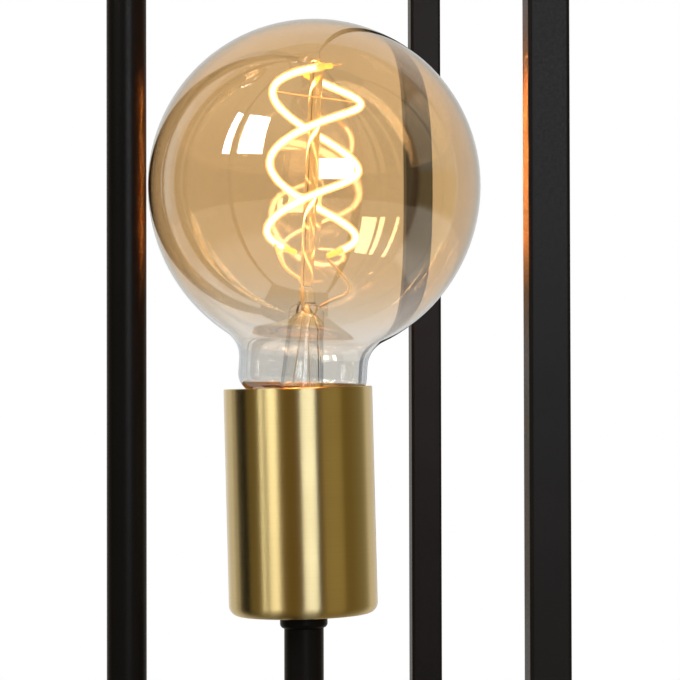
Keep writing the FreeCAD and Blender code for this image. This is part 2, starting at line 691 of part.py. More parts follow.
def contact():
    """The cap's insulator and the solder contact at its middle."""
    top = TIP + 5.0
    dome = (4.8, TIP + SOLDER - 0.3)
    return turned((0, top), (8.5, top), (8.5, TIP + 3.6), (5.0, TIP + SOLDER), dome,
                  crown(dome, TIP))


def hung(shift, lean):
    """The placement of what hangs out of line with the lamp."""
    return leaning(V(shift, 0, PIVOT), lean).multiply(
        FreeCAD.Placement(V(0, 0, -PIVOT), FreeCAD.Rotation()))


def slopes(stations):
    """How fast the height changes at each station, per degree, from the parabola through it
    and its neighbours."""
    spans = [after[0] - before[0] for before, after in zip(stations, stations[1:])]
    rises = [(after[1] - before[1]) / span
             for before, after, span in zip(stations, stations[1:], spans)]
    inner = [(left * after + right * before) / (before + after)
             for left, right, before, after in zip(rises, rises[1:], spans, spans[1:])]
    return [2 * rises[0] - inner[0]] + inner + [2 * rises[-1] - inner[-1]]


def station(start, angle, height, slope):
    """A point on a strand's middle line and its heading."""
    a = math.radians(start - angle)
    point = V(COIL_R * math.cos(a), COIL_R * math.sin(a), height)
    heading = V(COIL_R * math.sin(a), -COIL_R * math.cos(a), math.degrees(slope))
    return point, heading.normalize()


def half_arc(start, corner, end):
    """The arc that touches both lines from the corner, which is equally far from its ends."""
    middle = (start + end) * 0.5
    arm = (start - corner).Length
    half_angle = math.asin(min(1.0, (start - middle).Length / arm))
    reach = arm * (1 - math.sin(half_angle)) / math.cos(half_angle)
    crest = corner + (middle - corner).normalize() * reach
    return Part.Arc(start, crest, end).toShape()


def two_arcs(first, second):
    """A pair of arcs between two points, each given with its heading."""
    (p, t), (q, u) = first, second
    chord = q - p
    a = 2 * (1 - t.dot(u))
    b = 2 * chord.dot(t + u)
    arm = (-b + math.sqrt(b * b + 4 * a * chord.dot(chord))) / (2 * a)
    near, far = p + t * arm, q - u * arm
    joint = (near + far) * 0.5
    return [half_arc(p, near, joint), half_arc(joint, far, q)]


def strand_path(strand):
    """The middle line of a strand, one smooth line of arcs in pairs."""
    stations = strand["stations"]
    held = [station(strand["start"], angle, height, slope)
            for (angle, height), slope in zip(stations, slopes(stations))]
    edges = []
    for first, second in zip(held, held[1:]):
        edges += two_arcs(first, second)
    return Part.Wire(edges)


def least_gaps(paths):
    """The least clear distance of a strand from its own other turns and from its twin."""
    first, second = (path.discretize(GAP_POINTS) for path in paths)
    turn = GAP_POINTS // 3
    own = min((p - q).Length for line in (first, second)
              for i, p in enumerate(line) for q in line[i + turn:])
    twin = min((p - q).Length for p in first for q in second)
    return own - 2 * STRAND_R, twin - 2 * STRAND_R


def wire(radius, bend_r, *points):
    corners_at = [V(*point) for point in points]
    path, _ = route(corners_at, [bend_r] * (len(corners_at) - 2))
    return tube_along(path, radius)


def path_end(path, last):
    """The end point of a path and the direction out of it."""
    edge = path.Edges[-1] if last else path.Edges[0]
    at = edge.LastParameter if last else edge.FirstParameter
    outward = edge.tangentAt(at) * (1 if last else -1)
    return edge.valueAt(at), outward


def lead_wires(coil):
    """The wires that carry the strands. Two leads come up through the flare: one leaves the
    glass above the head and is crimped to the first strand, the other leaves at the shoulder
    and ends in the second. An anchor through the bead joins the upper ends, and a tie through
    the rod keeps the strands apart."""
    foot = FLARE_END + 7.0
    first, second = STRANDS
    crimp, _ = station(first["start"], CRIMP_AT, CRIMP_Z, 0)
    crimp = coil.multVec(crimp)
    end, outward = path_end(strand_path(second), True)
    end = coil.multVec(end + outward * LEAD_R)
    lead_a = wire(LEAD_R, 3.0, (-2.7, 0.6, foot), (-1.0, 0, -38.5), (-1.0, 0, -27.4),
                  (-6.3, 3.4, -24.6), (-8.8, 6.4, -20.0), (crimp.x, crimp.y, crimp.z))
    lead_b = wire(LEAD_R, 2.5, (2.9, -0.5, foot), (0.8, 0, -37.5), (4.4, -0.4, -33.4),
                  (13.2, -3.2, -29.3), (7.2, -8.6, -23.4), (4.0, -10.6, -21.2),
                  (end.x, end.y, end.z))
    top_a, out_a = path_end(strand_path(first), False)
    top_b, out_b = path_end(strand_path(second), False)
    top_a, top_b = top_a + out_a * TIE_R, top_b + out_b * TIE_R
    anchor = wire(TIE_R, 1.2, (top_a.x, top_a.y, top_a.z), (7.0, -11.0, 34.2),
                  (3.0, -3.0, 34.4), (-3.2, 3.0, 34.4), (-6.6, 11.0, 34.3),
                  (top_b.x, top_b.y, top_b.z))
    tie = wire(TIE_R, 30.0, (-COIL_R, 0, first["stations"][1][1]), (-6.0, -0.4, 25.9),
               (6.0, 0.3, 25.2), (COIL_R, 0, second["stations"][1][1]))
    return [lead_a, lead_b, placed(anchor, coil), placed(tie, coil)]


def glass_mount(wires):
    """The clear glass inside the lamp, with the wires sealed through it."""
    bell = FLARE_MOUTH - FLARE_R
    turn_z = FLARE_END + bell
    rounded = SHOULDER - SHOULDER_ROUND
    edge = 0.6
    flare = turned(
        (0, SHOULDER - FLARE_DOME), (FLARE_TOP_R - MOUNT_WALL, SHOULDER - FLARE_DOME),
        (FLARE_R - MOUNT_WALL, turn_z), (FLARE_MOUTH - 1.0, FLARE_END - MOUNT_WALL),
        (FLARE_MOUTH, FLARE_END - MOUNT_WALL), (FLARE_MOUTH, FLARE_END),
        bend((FLARE_MOUTH, turn_z), bell, 270, 180), (FLARE_TOP_R, rounded),
        bend((FLARE_TOP_R - SHOULDER_ROUND, rounded), SHOULDER_ROUND, 0, 90),
        (HEAD_R, SHOULDER), (HEAD_R, HEAD_TOP - edge), (HEAD_R - edge, HEAD_TOP),
        (0, HEAD_TOP))
    bead = (BEAD_R, ROD_TOP)
    stalk = turned((0, HEAD_TOP - 1.0), (PINCH_R, HEAD_TOP - 1.0), (PINCH_R, ROD_START - 0.8),
                   (ROD_R, ROD_START), (ROD_R, ROD_TOP - 3.0), bead,
                   crown(bead, ROD_TOP + 1.4))
    mount = flare.fuse(placed(stalk, hung(ROD_SHIFT, ROD_LEAN)))
    for piece in wires:
        mount = mount.cut(piece)
    return mount


def filament(wires, coil):
    paths = [strand_path(strand) for strand in STRANDS]
    strands = []
    for path in paths:
        tube = tube_along(path, STRAND_R)
        expected = math.pi * STRAND_R ** 2 * path.Length
        print(f"strand: {path.Length:.0f} mm long, "
              f"volume {tube.Volume / expected:.4f} of section times length")
        strands.append(placed(tube, coil))
    own, twin = least_gaps(paths)
    print(f"filament: least gap {own:.1f} mm to itself, {twin:.1f} mm to its twin")
    clear = []
    for piece in wires:
        for tube in strands:
            piece = piece.cut(tube)
        clear.append(piece)
    return group(strands + clear)


def lamps():
    coil = hung(COIL_SHIFT, COIL_LEAN)
    wires = lead_wires(coil)
    spun = {"globe": globe(), "cap": cap(), "contact": contact(),
            "mount": glass_mount(wires), "filament": filament(wires, coil)}
    made = {}
    for i, stem in enumerate(STEMS):
        for name, shape in spun.items():
            facing = shape.rotated(V(0, 0, 0), UP, stem["turned"])
            made[f"bulb_{i + 1}_{name}"] = placed(facing, lamp_frame(i))
    return made


def numbered(name, shapes):
    return {f"{name}_{i + 1}": shape for i, shape in enumerate(shapes)}


def main():
    parts = {"base_cover": base_cover(), "base_plate": base_plate(), "ballast": ballast(),
             "feet": feet(), "base_screws": base_screws(), "cord_bush": cord_bush(),
             "terminal_block": terminal_block(), "earth_stud": earth_stud(),
             "post_plugs": post_plugs(), "post_screws": post_screws(), "top_caps": top_caps(),
             "nipples": nipples(), "stem_nuts": stem_nuts(), "collars": collars(),
             "holder_brackets": holder_brackets(), "bracket_screws": bracket_screws(),
             "screw_shells": group(all_stems(screw_shell(), lamp_frame)),
             "centre_contacts": group(all_stems(centre_contact(), lamp_frame)),
             "wiring": wiring()}
    parts.update(posts())
    parts.update(rails())
    parts.update(stems())
    parts.update(numbered("cup", all_stems(cup(), cup_frame)))
    parts.update(numbered("holder", all_stems(holder(), lamp_frame)))
    parts.update(lamps())
    os.makedirs("parts", exist_ok=True)
    for name, shape in parts.items():
        solids = len(shape.Solids)
        if not shape.isValid() or not solids:
            print(f"{name}: {solids} solids, valid {shape.isValid()}")
        shape.exportStep(f"parts/{name}.step")
    print(f"{len(parts)} nodes")


main()
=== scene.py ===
import json
import math

import bpy
from mathutils import Matrix, Vector


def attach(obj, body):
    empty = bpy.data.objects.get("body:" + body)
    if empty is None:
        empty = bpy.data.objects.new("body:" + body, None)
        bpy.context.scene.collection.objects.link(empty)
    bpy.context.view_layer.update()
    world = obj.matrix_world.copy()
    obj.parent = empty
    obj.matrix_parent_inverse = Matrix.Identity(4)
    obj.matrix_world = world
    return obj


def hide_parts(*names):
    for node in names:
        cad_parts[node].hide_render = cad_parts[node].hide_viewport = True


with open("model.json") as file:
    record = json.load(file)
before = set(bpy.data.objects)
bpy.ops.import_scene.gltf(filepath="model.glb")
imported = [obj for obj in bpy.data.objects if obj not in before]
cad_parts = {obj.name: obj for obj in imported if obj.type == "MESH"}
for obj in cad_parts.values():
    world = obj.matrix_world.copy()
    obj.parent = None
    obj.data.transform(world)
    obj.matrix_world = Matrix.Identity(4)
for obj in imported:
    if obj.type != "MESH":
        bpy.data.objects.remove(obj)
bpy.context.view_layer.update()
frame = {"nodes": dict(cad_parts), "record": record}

MM = 0.001

# Camera, matched to the photograph's edges

CAMERA_PLACE = Vector((23.85, -735.97, 429.86)) * MM
CAMERA_YAW, CAMERA_PITCH, CAMERA_ROLL = 4.822, 1.061, -0.128
CAMERA_LENS = 136.83
SENSOR = 36.0

# The part's own measures, in millimetres, as its source has them

STEM_SPACING = 50.3
COLLAR, CUP_HEIGHT = 4.0, 64.5
CUP_RIM = COLLAR + CUP_HEIGHT
CROSS_IN_CUP = CUP_RIM - 13.0       # where the lamp's axis crosses the cup's
CROSS_IN_LAMP = -70.7
STEMS = (
    {"rim": 700.0, "cup_lean": 1.2, "lamp_lean": -3.6, "turned": 55.0},
    {"rim": 1240.0, "cup_lean": -0.5, "lamp_lean": 0.7, "turned": 130.0},
    {"rim": 970.0, "cup_lean": -1.0, "lamp_lean": 3.5, "turned": 200.0},
    {"rim": 430.0, "cup_lean": -1.36, "lamp_lean": 3.67, "turned": 0.0},
)
GLOBE_R, BELLY_R, THROAT_R = 47.5, 50.0, 8.0
BELLY_SHIFT = GLOBE_R - BELLY_R
NECK_R, NECK_END, NECK_ROUND = 18.35, -54.5, 5.3
GLASS = 0.8
CAP_TOP, SEALED = -60.5, 12.65      # and the radius of the glass inside the cap
SEAL_WALL, SEAL_DEPTH = 1.2, 5.5
MOUNT_WALL = 0.8
FLARE_END, FLARE_MOUTH = CAP_TOP - 4.5, SEALED - SEAL_WALL
FLARE_R, FLARE_TOP_R = 6.3, 5.0
SHOULDER, SHOULDER_ROUND = -34.0, 2.5
VAULT_R, VAULT_ROOF = 7.0, 1.4      # the hollow under the shoulder and the glass over it
HEAD_R, HEAD_TOP, PINCH_R = 2.4, -29.0, 1.5
HEAD_ROUND, HEAD_FILLET = 0.7, 0.9
ROD_R, ROD_START, ROD_TOP, BEAD_R = 1.9, -26.8, 35.0, 2.2
PIVOT = -33.5
ROD_SHIFT, ROD_LEAN = -0.45, -0.8
COIL_SHIFT, COIL_LEAN = 0.47, -1.3
COIL_R = 12.7
# Where each strand starts round the axis, and stations along it: degrees wound, and height
STRANDS = (
    {"start": -90.0, "stations": ((-12, 33.0), (90, 26.8), (180, 16.7), (270, 5.4),
                                  (360, -3.1), (450, -12.9), (522, -18.4))},
    {"start": 90.0, "stations": ((-12, 33.4), (90, 24.3), (180, 16.9), (270, 6.6),
                                 (360, -4.1), (450, -13.8), (520, -20.2))},
)
LEAD_R, INNER_LEAD_R, TIE_R = 0.42, 0.22, 0.2
LEAD_FOOT = FLARE_END + 7.0
CRIMP_AT, CRIMP_Z = 488.0, -15.9


# Where things stand

def leaning(degrees):
    return Matrix.Rotation(math.radians(degrees), 4, "Y")


def cup_frame(stem):
    x = STEM_SPACING * (STEMS.index(stem) - (len(STEMS) - 1) / 2)
    top = Vector((x, 0, stem["rim"] - CUP_RIM))
    return Matrix.Translation(top * MM) @ leaning(stem["cup_lean"])


def lamp_frame(stem):
    cross = cup_frame(stem) @ Vector((0, 0, CROSS_IN_CUP * MM))
    lean = leaning(stem["lamp_lean"])
    return Matrix.Translation(cross - lean @ Vector((0, 0, CROSS_IN_LAMP * MM))) @ lean


def filament_frame(stem):
    """The lamp's frame, turned about the lamp's axis as its filament is."""
    return lamp_frame(stem) @ Matrix.Rotation(math.radians(stem["turned"]), 4, "Z")


def hung(shift, lean):
    """What hangs a little out of line with the lamp, in millimetres."""
    pivot = Vector((0, 0, PIVOT))
    moved = Matrix.Translation(pivot + Vector((shift, 0, 0)))
    return moved @ leaning(lean) @ Matrix.Translation(-pivot)


COIL = hung(COIL_SHIFT, COIL_LEAN)


# Node trees

def link(tree, source, target):
    tree.links.new(source, target)


def new_material(name):
    made = bpy.data.materials.new(name)
    made.use_nodes = True
    made.node_tree.nodes.clear()
    out = made.node_tree.nodes.new("ShaderNodeOutputMaterial")
    return made, made.node_tree, out


def add(tree, kind, **values):
    node = tree.nodes.new("ShaderNode" + kind)
    for key, value in values.items():
        setattr(node, key, value)
    return node


def principled(tree, out, **sockets):
    node = add(tree, "BsdfPrincipled")
    for key, value in sockets.items():
        node.inputs[key.replace("_", " ")].default_value = value
    if out is not None:
        link(tree, node.outputs[0], out.inputs["Surface"])
    return node


def place(tree, local=None):
    """Coordinates of the object at rest, in metres, or in the frame given."""
    source = add(tree, "TexCoord").outputs["Object"]
    if local is None:
        return source
    inverse = local.inverted()
    turn = add(tree, "Mapping")
    turn.inputs["Location"].default_value = inverse.to_translation()
    turn.inputs["Rotation"].default_value = inverse.to_euler()
    link(tree, source, turn.inputs["Vector"])
    return turn.outputs["Vector"]


def stretched(tree, vector, x, y, z):
    node = add(tree, "VectorMath", operation="MULTIPLY")
    node.inputs[1].default_value = (x, y, z)
    link(tree, vector, node.inputs[0])
    return node.outputs[0]


def noise(tree, vector, scale, detail=2.0, rough=0.5):
    node = add(tree, "TexNoise")
    node.inputs["Scale"].default_value = scale
    node.inputs["Detail"].default_value = detail
    node.inputs["Roughness"].default_value = rough
    link(tree, vector, node.inputs["Vector"])
    return node.outputs["Fac"]


def spread(tree, value, low, high, start=0.0, end=1.0, smooth=False):
    node = add(tree, "MapRange")
    if smooth:
        node.interpolation_type = "SMOOTHSTEP"
    for name, number in (("From Min", start), ("From Max", end), ("To Min", low), ("To Max", high)):
        node.inputs[name].default_value = number
    link(tree, value, node.inputs["Value"])
    return node.outputs["Result"]


def mixed(tree, fac, first, second):
    """A colour between two, by a socket."""
    node = add(tree, "Mix", data_type="RGBA")
    link(tree, fac, node.inputs[0])
    for socket, value in ((node.inputs[6], first), (node.inputs[7], second)):
        if isinstance(value, tuple):
            socket.default_value = (*value, 1)
        else:
            link(tree, value, socket)
    return node.outputs[2]


def maths(tree, operation, *values):
    """The result of an operation on sockets and numbers."""
    node = add(tree, "Math", operation=operation)
    for socket, value in zip(node.inputs, values):
        if isinstance(value, (int, float)):
            socket.default_value = value
        else:
            link(tree, value, socket)
    return node.outputs[0]


def blended(tree, fac, first, second):
    """A surface between two, by a socket."""
    node = add(tree, "MixShader")
    for socket, value in zip(node.inputs, (fac, first, second)):
        link(tree, value, socket)
    return node.outputs[0]


def height_of(tree, vector):
    node = add(tree, "SeparateXYZ")
    link(tree, vector, node.inputs[0])
    return node.outputs["Z"]


def bumped(tree, height, distance, shader):
    node = add(tree, "Bump")
    node.inputs["Strength"].default_value = 1.0
    node.inputs["Distance"].default_value = distance
    link(tree, height, node.inputs["Height"])
    link(tree, node.outputs[0], shader.inputs["Normal"])


# Finishes

NOISE_SPAN = (0.3, 0.7)             # where most of a noise's values lie


def grained(name, dark, light, rough, grain, bump, patches=None, rougher=0.08, **sockets):
    """A plain finish. Its colour follows broad patches or the grain, its gloss and its bumps
    follow the grain. Grain and patches are given as scales of noise."""
    made, tree, out = new_material(name)
    shader = principled(tree, out, **sockets)
    at = place(tree)
    fine = noise(tree, at, grain, 3, 0.6)
    tone = noise(tree, at, patches, 2) if patches else fine
    link(tree, mixed(tree, tone, dark, light), shader.inputs["Base Color"])
    link(tree, spread(tree, fine, rough - 0.06, rough + rougher, *NOISE_SPAN),
         shader.inputs["Roughness"])
    bumped(tree, fine, bump, shader)
    return made


def powder_coat(name, dark, light, gloss, rough):
    return grained(name, dark, light, rough, grain=1500, bump=0.00001, patches=60,
                   rougher=0.06, Specular_IOR_Level=gloss)


def plain_metal(name, dark, light, rough, grain, bump):
    return grained(name, dark, light, rough, grain, bump, Metallic=1.0)


def moulded(name, dark, light, rough, grain, bump, coat=0.0):
    return grained(name, dark, light, rough, grain, bump, patches=90, Coat_Weight=coat)


BRASS_DARK, BRASS_LIGHT = (0.81, 0.675, 0.335), (0.91, 0.765, 0.41)
BRASS_ROUGH = (0.335, 0.375)
BRASS_RINGS = (12, 12, 3500)
BRASS_PATCHES = (30, 30, 60)
BRASS_BUMP = 0.000001


def satin_brass(stem):
    """Brass brushed around the cup: fine rings, so that lights are drawn out along it."""
    made, tree, out = new_material("satin_brass_" + str(STEMS.index(stem) + 1))
    shader = principled(tree, out, Metallic=1.0, Anisotropic=1.0, Anisotropic_Rotation=0.25,
                        Coat_Weight=0.25, Coat_Roughness=0.3)
    at = place(tree, cup_frame(stem))
    rings = noise(tree, stretched(tree, at, *BRASS_RINGS), 1.0, 3, 0.7)
    broad = noise(tree, stretched(tree, at, *BRASS_PATCHES), 1.0, 2, 0.5)
    link(tree, mixed(tree, rings, BRASS_DARK, BRASS_LIGHT), shader.inputs["Base Color"])
    link(tree, spread(tree, broad, *BRASS_ROUGH, *NOISE_SPAN), shader.inputs["Roughness"])
    tangent = add(tree, "Tangent", direction_type="RADIAL", axis="Z")
    link(tree, tangent.outputs[0], shader.inputs["Tangent"])
    bumped(tree, rings, BRASS_BUMP, shader)
    return made


def lamp_light_passes(tree, out, shader, tint):
    """A surface that the camera sees as it is, and that lets the lamps' light straight through."""
    path = add(tree, "LightPath").outputs
    blurred = maths(tree, "SUBTRACT", path["Is Glossy Ray"], path["Is Singular Ray"])
    either = maths(tree, "MAXIMUM", path["Is Shadow Ray"], path["Is Diffuse Ray"])
    any_of = maths(tree, "MAXIMUM", either, blurred)
    clear = add(tree, "BsdfTransparent")
    if isinstance(tint, tuple):
        clear.inputs["Color"].default_value = (*tint, 1)
    else:
        link(tree, tint, clear.inputs["Color"])
    surface = blended(tree, any_of, shader.outputs[0], clear.outputs[0])
    link(tree, surface, out.inputs["Surface"])


# The amber glass mirrors more than plain glass, for the metal oxide film that tints it. Its tint
# fades out between these heights in the lamp's frame, in metres, and a little unevenly.
AMBER_THIN, AMBER_DEEP = (0.845, 0.835, 0.81), (0.842, 0.664, 0.438)
AMBER_IOR = 1.85
AMBER_FADE = (-0.0500, -0.0185)
AMBER_UNEVEN = 0.004


def amber_glass(stem):
    """Blown glass whose amber tint fades out towards the neck."""
    made, tree, out = new_material("amber_glass_" + str(STEMS.index(stem) + 1))
    glass = principled(tree, None, Transmission_Weight=1.0, Roughness=0.0, IOR=AMBER_IOR)
    at = place(tree, lamp_frame(stem))
    height = maths(tree, "MULTIPLY_ADD", noise(tree, at, 45, 2), AMBER_UNEVEN, height_of(tree, at))
    depth = spread(tree, height, 0.0, 1.0, *AMBER_FADE, smooth=True)
    colour = mixed(tree, depth, AMBER_THIN, AMBER_DEEP)
    link(tree, colour, glass.inputs["Base Color"])
    root = add(tree, "Gamma")
    root.inputs["Gamma"].default_value = 0.5
    link(tree, colour, root.inputs["Color"])
    lamp_light_passes(tree, out, glass, root.outputs[0])
    return made


# Glass and wires beside the filament get a painted warm glow, and the glass a warmer painted
# colour, standing in for the filament's light on them. The painted glow sets in between these
# heights in the filament's frame, in metres.
# A faint painted glow that the glass and wires keep away from the filament
FAINT_PAINTED_GLOW = (0.02, 0.012, 0.004)
MOUNT_PAINTED_GLOW, MOUNT_PAINTED_GLOW_FROM = (1.0, 0.62, 0.20), (-0.043, -0.024)
WIRE_PAINTED_GLOW, WIRE_PAINTED_GLOW_FROM = (1.0, 0.72, 0.30), (-0.036, -0.027)
MOUNT_DARK, MOUNT_LIGHT, MOUNT_PAINTED_WARMTH = (0.93, 0.94, 0.92), (0.98, 0.98, 0.97), (0.97, 0.88, 0.72)
NICKEL_DARK, NICKEL_LIGHT = (0.66, 0.63, 0.57), (0.80, 0.77, 0.70)


# Mask for the painted glow: nothing below the given heights, full above them
def painted_glow_mask(tree, stem, heights):
    height = height_of(tree, place(tree, filament_frame(stem)))
    return spread(tree, height, 0.0, 1.0, *heights, smooth=True)


def clear_glass(stem):
    """The mount's glass, with a painted warm glow and a warmer painted colour beside the filament,
    for the filament's light on it.
    """
    made, tree, out = new_material("clear_glass_" + str(STEMS.index(stem) + 1))
    glass = principled(tree, None, Transmission_Weight=1.0, Roughness=0.0, IOR=1.38,
                       Emission_Strength=0.11)
    streaks = noise(tree, stretched(tree, place(tree), 300, 300, 20), 1.0, 2)
    painted_glow = painted_glow_mask(tree, stem, MOUNT_PAINTED_GLOW_FROM)
    plain = mixed(tree, streaks, MOUNT_DARK, MOUNT_LIGHT)
    # Warmer painted colour beside the filament, for its light on the glass
    colour = mixed(tree, painted_glow, plain, MOUNT_PAINTED_WARMTH)
    link(tree, colour, glass.inputs["Base Color"])
    # Painted warm glow beside the filament, a faint one elsewhere
    link(tree, mixed(tree, painted_glow, FAINT_PAINTED_GLOW, MOUNT_PAINTED_GLOW), glass.inputs["Emission Color"])
    lamp_light_passes(tree, out, glass, colour)
    return made


def lead_wire(stem):
    """Nickel wire, with a painted yellow glow beside the filament, for the strands' light reflected
    in it.
    """
    made, tree, out = new_material("lead_wire_" + str(STEMS.index(stem) + 1))
    shader = principled(tree, out, Metallic=0.6, Roughness=0.5, Emission_Strength=0.5)
    grain = noise(tree, place(tree), 900, 2)
    link(tree, mixed(tree, grain, NICKEL_DARK, NICKEL_LIGHT), shader.inputs["Base Color"])
    painted_glow = painted_glow_mask(tree, stem, WIRE_PAINTED_GLOW_FROM)
    # Painted yellow glow beside the filament, a faint one elsewhere
    link(tree, mixed(tree, painted_glow, FAINT_PAINTED_GLOW, WIRE_PAINTED_GLOW), shader.inputs["Emission Color"])
    return made


# The light of the chips, and how each layer of their coating colours what leaves it
CHIP_DARK, CHIP_LIGHT, CHIP_STRENGTH = (1.0, 0.68, 0.42), (1.0, 0.74, 0.48), 150.0
PHOSPHOR = (1.0, 0.7, 0.45)


def lit_core():
    """The lit chips, seen through their coating as one white line."""
    made, tree, out = new_material("lit_core")
    glow = add(tree, "Emission")
    chips = noise(tree, place(tree), 500, 1)
    link(tree, mixed(tree, chips, CHIP_DARK, CHIP_LIGHT), glow.inputs["Color"])
    glow.inputs["Strength"].default_value = CHIP_STRENGTH
    link(tree, glow.outputs[0], out.inputs["Surface"])
    return made


def coating(name, dark, light, strength, alpha):
    """A layer of the soft phosphor coating around the chips."""
    made, tree, out = new_material(name)
    shader = principled(tree, None, Roughness=0.5, Alpha=alpha, Emission_Strength=strength)
    grain = noise(tree, place(tree), 900, 2)
    colour = mixed(tree, grain, dark, light)
    link(tree, colour, shader.inputs["Base Color"])
    link(tree, colour, shader.inputs["Emission Color"])
    lamp_light_passes(tree, out, shader, PHOSPHOR)
    return made


# Meshes

SHARP_FROM = math.radians(35)


def new_piece(name, points, faces, body, slot_name, finish):
    mesh = bpy.data.meshes.new(name)
    mesh.from_pydata(points, [], faces)
    mesh.materials.append(finish)
    mesh.shade_smooth()
    mesh.set_sharp_from_angle(angle=SHARP_FROM)
    piece = bpy.data.objects.new(name, mesh)
    bpy.context.scene.collection.objects.link(piece)
    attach(piece, body)
    return piece


def arc(centre, radius, start, end, step=4.0):
    """Points of an arc in an outline, start and end given in degrees."""
    count = max(2, math.ceil(abs(end - start) / step))
    angles = [math.radians(start + (end - start) * n / count) for n in range(count + 1)]
    return [(centre[0] + radius * math.cos(a), centre[1] + radius * math.sin(a)) for a in angles]


def without_doubles(points, apart=1e-4):
    """An outline's points, less those that repeat the one before."""
    kept = []
    for r, z in points:
        r = max(r, 0.0)
        if not kept or math.hypot(r - kept[-1][0], z - kept[-1][1]) > apart:
            kept.append((r, z))
    return kept


def revolved(outline, place_in, segments=160, sideways=None):
    """Vertices and faces of a closed outline in millimetres turned about its z axis, or about
    an axis that wanders sideways with the height."""
    points, faces, rows = [], [], []
    for r, z in without_doubles(outline):
        shift = sideways(z) if sideways else 0.0
        if r < 1e-6:
            rows.append([len(points)])
            points.append(place_in @ (Vector((shift, 0, z)) * MM))
            continue
        rows.append(list(range(len(points), len(points) + segments)))
        for n in range(segments):
            a = 2 * math.pi * n / segments
            points.append(place_in @ (Vector((r * math.cos(a) + shift, r * math.sin(a), z)) * MM))
    pairs = list(zip(rows, rows[1:]))
    if len(rows[0]) > 1 and len(rows[-1]) > 1:
        pairs.append((rows[-1], rows[0]))
    for low, high in pairs:
        for n in range(segments):
            m = (n + 1) % segments
            corners = [low[n % len(low)], low[m % len(low)], high[m % len(high)], high[n % len(high)]]
            face = list(dict.fromkeys(corners))
            if len(face) > 2:
                faces.append(face)
    return points, faces


def globe_outline():
    throat_x = NECK_R + THROAT_R
    throat_z = -math.sqrt((BELLY_R + THROAT_R) ** 2 - (throat_x - BELLY_SHIFT) ** 2)
    seam = math.degrees(math.atan2(throat_z, throat_x - BELLY_SHIFT))
    belly, throat = (BELLY_SHIFT, 0), (throat_x, throat_z)
    round_at = (NECK_R - NECK_ROUND, NECK_END)
    end, bottom = CAP_TOP - SEAL_DEPTH, NECK_END - NECK_ROUND
    outside = (arc((0, 0), GLOBE_R, 90, 0, 3) + arc(belly, BELLY_R, 0, seam, 3)
               + arc(throat, THROAT_R, 180 + seam, 180, 5) + arc(round_at, NECK_ROUND, 0, -90, 8)
               + [(SEALED, bottom), (SEALED, end)])
    inside = ([(SEALED - SEAL_WALL, end), (SEALED - SEAL_WALL, bottom + GLASS)]
              + arc(round_at, NECK_ROUND - GLASS, -90, 0, 8)
              + arc(throat, THROAT_R + GLASS, 180, 180 + seam, 5)
              + arc(belly, BELLY_R - GLASS, seam, 0, 3) + arc((0, 0), GLOBE_R - GLASS, 0, 90, 3))
    return (outside + inside)[::-1]


def mount_outline():
    """Flare, dome, head, rod and bead in one outline, from the hollow under the dome round to
    the tip of the bead."""
    bell = FLARE_MOUTH - FLARE_R
    turn_z = FLARE_END + bell
    rounded = SHOULDER - SHOULDER_ROUND
    inner_top = FLARE_TOP_R - MOUNT_WALL
    vault = math.degrees(math.acos((VAULT_R - inner_top) / VAULT_R))
    vault_foot = SHOULDER - VAULT_ROOF - VAULT_R * math.sin(math.radians(vault))
    return (arc((inner_top - VAULT_R, vault_foot), VAULT_R, vault, 0, 8)
            + arc((FLARE_MOUTH, turn_z), bell + MOUNT_WALL, 180, 262, 8)
            + [(FLARE_MOUTH, FLARE_END - MOUNT_WALL)]
            + arc((FLARE_MOUTH, turn_z), bell, 270, 180, 8)
            + arc((FLARE_TOP_R - SHOULDER_ROUND, rounded), SHOULDER_ROUND, 0, 80, 10)
            + arc((HEAD_R + HEAD_FILLET, SHOULDER + HEAD_FILLET), HEAD_FILLET, 260, 180, 16)
            + arc((HEAD_R - HEAD_ROUND, HEAD_TOP - HEAD_ROUND), HEAD_ROUND, 0, 75, 15)
            + [(PINCH_R + 0.15, HEAD_TOP + 0.15), (PINCH_R, HEAD_TOP + 0.7),
               (PINCH_R, ROD_START - 0.8),
               (PINCH_R + 0.15, ROD_START - 0.45), (ROD_R - 0.1, ROD_START - 0.1),
               (ROD_R, ROD_START + 0.4), (ROD_R, ROD_TOP - 3.2), (ROD_R + 0.08, ROD_TOP - 2.2)]
            + arc((0, ROD_TOP - 0.6), BEAD_R, -12, 90, 12))


def rod_sideways(z):
    """How far the rod's axis stands off the lamp's at a height."""
    off = ROD_SHIFT + (z - PIVOT) * math.tan(math.radians(ROD_LEAN))
    blend = min(1.0, max(0.0, (z - SHOULDER) / (HEAD_TOP - SHOULDER)))
    return off * blend * blend * (3 - 2 * blend)


def slopes(stations):
    """How fast the height changes at each station, from the parabola through its neighbours."""
    spans = [after[0] - before[0] for before, after in zip(stations, stations[1:])]
    rises = [(after[1] - before[1]) / span
             for before, after, span in zip(stations, stations[1:], spans)]
    inner = [(left * after + right * before) / (before + after)
             for left, right, before, after in zip(rises, rises[1:], spans, spans[1:])]
    return [2 * rises[0] - inner[0]] + inner + [2 * rises[-1] - inner[-1]]


